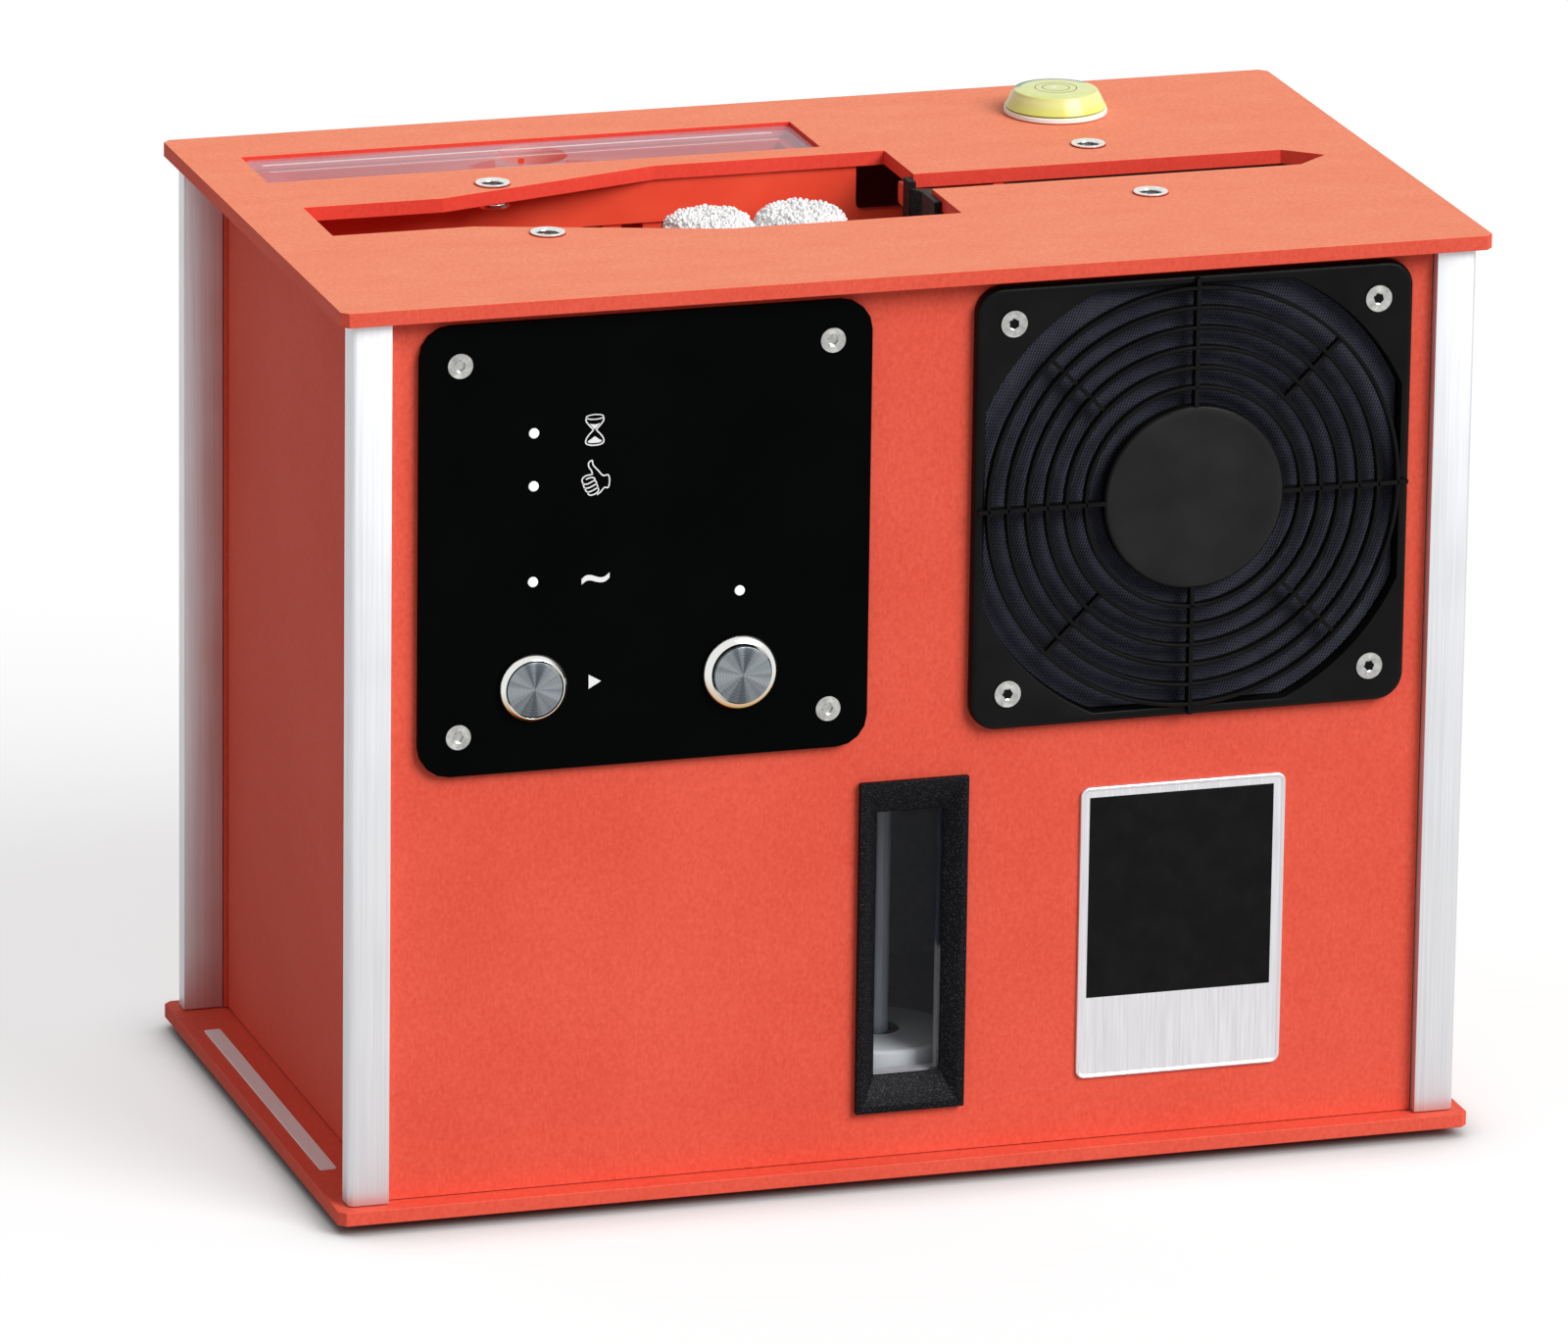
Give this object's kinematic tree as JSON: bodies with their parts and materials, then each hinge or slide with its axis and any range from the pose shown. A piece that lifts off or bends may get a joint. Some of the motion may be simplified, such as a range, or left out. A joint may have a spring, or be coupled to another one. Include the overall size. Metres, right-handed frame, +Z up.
{
  "type": "record cleaning machine",
  "caption": "Bench-top cleaner for long-playing records: a record drops edge first through a long slot between microfibre rollers, above a water tank, and is dried by a fan.",
  "frame": {"origin": "on the ground under the middle of the cabinet", "axes": "+Z up, front panel facing -Y, +X to the right when seen from the front"},
  "size_m": [0.32, 0.1864, 0.2636],
  "materials": {
    "board_red": "fibrous through-coloured board",
    "bar_aluminium": "satin",
    "foot_rubber": "matte",
    "panel_black": "fine matte",
    "button_steel": "turned and polished",
    "circuit_green": "printed circuit",
    "moulded_black": "fine grain",
    "filter_cloth": "woven",
    "window_clear": "clear",
    "tank_grey": "moulded",
    "steel": "bright",
    "float_white": "smooth",
    "chamber_red": "satin",
    "microfibre_white": "deep pile",
    "spindle_grey": "moulded",
    "motor_steel": "satin",
    "gear_white": "moulded",
    "wiper_rubber": "matte",
    "filter_foam": "open foam",
    "lid_clear": "tinted acrylic",
    "level_white": "smooth",
    "level_lime": "liquid filled",
    "bushing_steel": "bright"
  },
  "bodies": {
    "cabinet": {"air_duct": "moulded_black", "bottom_plate": "board_red", "bushing_front_left": "bushing_steel", "bushing_front_right": "bushing_steel", "bushing_rear_left": "bushing_steel", "bushing_rear_right": "bushing_steel", "circulation_pump": "moulded_black", "control_board": "circuit_green", "control_panel": "panel_black", "corner_bar_front_left": "bar_aluminium", "corner_bar_front_right": "bar_aluminium", "corner_bar_rear_left": "bar_aluminium", "corner_bar_rear_right": "bar_aluminium", "drying_channel": "moulded_black", "fan_filter": "filter_cloth", "fan_frame": "moulded_black", "fan_guard": "moulded_black", "filter_box": "tank_grey", "filter_foam": "filter_foam", "float_rod": "steel", "front_panel": "board_red", "gear_plate": "tank_grey", "level_base": "level_white", "level_vial": "level_lime", "mode_button_bezel": "button_steel", "power_inlet": "moulded_black", "rear_panel": "board_red", "roller_motor": "motor_steel", "rubber_foot_front_left": "foot_rubber", "rubber_foot_front_right": "foot_rubber", "rubber_foot_rear_left": "foot_rubber", "rubber_foot_rear_right": "foot_rubber", "side_panel_left": "board_red", "side_panel_right": "board_red", "start_button_bezel": "button_steel", "top_plate": "board_red", "ultrasonic_transducer": "steel", "wash_chamber": "chamber_red", "water_tank": "tank_grey", "wheel_motor": "motor_steel", "window_bezel": "moulded_black", "window_pane": "window_clear", "wiper_front": "wiper_rubber", "wiper_rear": "wiper_rubber"},
    "start_button": {"start_button_cap": "button_steel"},
    "mode_button": {"mode_button_cap": "button_steel"},
    "fan": {"fan_rotor": "moulded_black"},
    "sun_gear": {"sun_gear": "gear_white"},
    "drive_wheel": {"drive_wheel": "wiper_rubber"},
    "support_wheel": {"support_wheel": "wiper_rubber"},
    "float": {"float_disc": "float_white"},
    "filter_lid": {"filter_lid": "lid_clear"},
    "roller_front_left": {"roller_sleeve_front_left": "microfibre_white", "roller_spindle_front_left": "spindle_grey"},
    "roller_front_right": {"roller_sleeve_front_right": "microfibre_white", "roller_spindle_front_right": "spindle_grey"},
    "roller_rear_left": {"roller_sleeve_rear_left": "microfibre_white", "roller_spindle_rear_left": "spindle_grey"},
    "roller_rear_right": {"roller_sleeve_rear_right": "microfibre_white", "roller_spindle_rear_right": "spindle_grey"}
  },
  "joints": [
    {"name": "start_button_press", "type": "slide", "parent": "cabinet", "child": "start_button", "axis": [0, 1, 0], "range_m": [0, 0.001], "stiffness_N_per_m": 900, "springref_m": -0.0005},
    {"name": "mode_button_press", "type": "slide", "parent": "cabinet", "child": "mode_button", "axis": [0, 1, 0], "range_m": [0, 0.0012], "stiffness_N_per_m": 900, "springref_m": -0.0005},
    {"name": "fan_spin", "type": "hinge", "parent": "cabinet", "child": "fan", "pos_m": [0.07715, -0.0697, 0.1877], "axis": [0, 1, 0], "continuous": true},
    {"name": "sun_gear_spin", "type": "hinge", "parent": "cabinet", "child": "sun_gear", "pos_m": [-0.0149, -0.0009, 0.1392], "axis": [0, 0, 1], "continuous": true},
    {"name": "roller_front_left_spin", "type": "hinge", "parent": "cabinet", "child": "roller_front_left", "pos_m": [-0.0279, -0.0139, 0.1392], "axis": [0, 0, 1], "continuous": true},
    {"name": "roller_front_right_spin", "type": "hinge", "parent": "cabinet", "child": "roller_front_right", "pos_m": [-0.0019, -0.0139, 0.1392], "axis": [0, 0, 1], "continuous": true},
    {"name": "roller_rear_left_spin", "type": "hinge", "parent": "cabinet", "child": "roller_rear_left", "pos_m": [-0.0279, 0.0121, 0.1392], "axis": [0, 0, 1], "continuous": true},
    {"name": "roller_rear_right_spin", "type": "hinge", "parent": "cabinet", "child": "roller_rear_right", "pos_m": [-0.0019, 0.0121, 0.1392], "axis": [0, 0, 1], "continuous": true},
    {"name": "drive_wheel_spin", "type": "hinge", "parent": "cabinet", "child": "drive_wheel", "pos_m": [-0.1125, -0.0009, 0.19865], "axis": [0, 1, 0], "continuous": true},
    {"name": "support_wheel_spin", "type": "hinge", "parent": "cabinet", "child": "support_wheel", "pos_m": [0.1155, -0.0009, 0.19865], "axis": [0, 1, 0], "continuous": true},
    {"name": "float_rise", "type": "slide", "parent": "cabinet", "child": "float", "axis": [0, 0, 1], "range_m": [0, 0.055]},
    {"name": "filter_lid_lift", "type": "slide", "parent": "cabinet", "child": "filter_lid", "axis": [0, 0, 1], "range_m": [0, 0.03]}
  ],
  "couplings": [
    {"joint": "roller_front_left_spin", "follows": "sun_gear_spin", "ratio": -1},
    {"joint": "roller_front_right_spin", "follows": "sun_gear_spin", "ratio": -1},
    {"joint": "roller_rear_left_spin", "follows": "sun_gear_spin", "ratio": -1},
    {"joint": "roller_rear_right_spin", "follows": "sun_gear_spin", "ratio": -1}
  ]
}
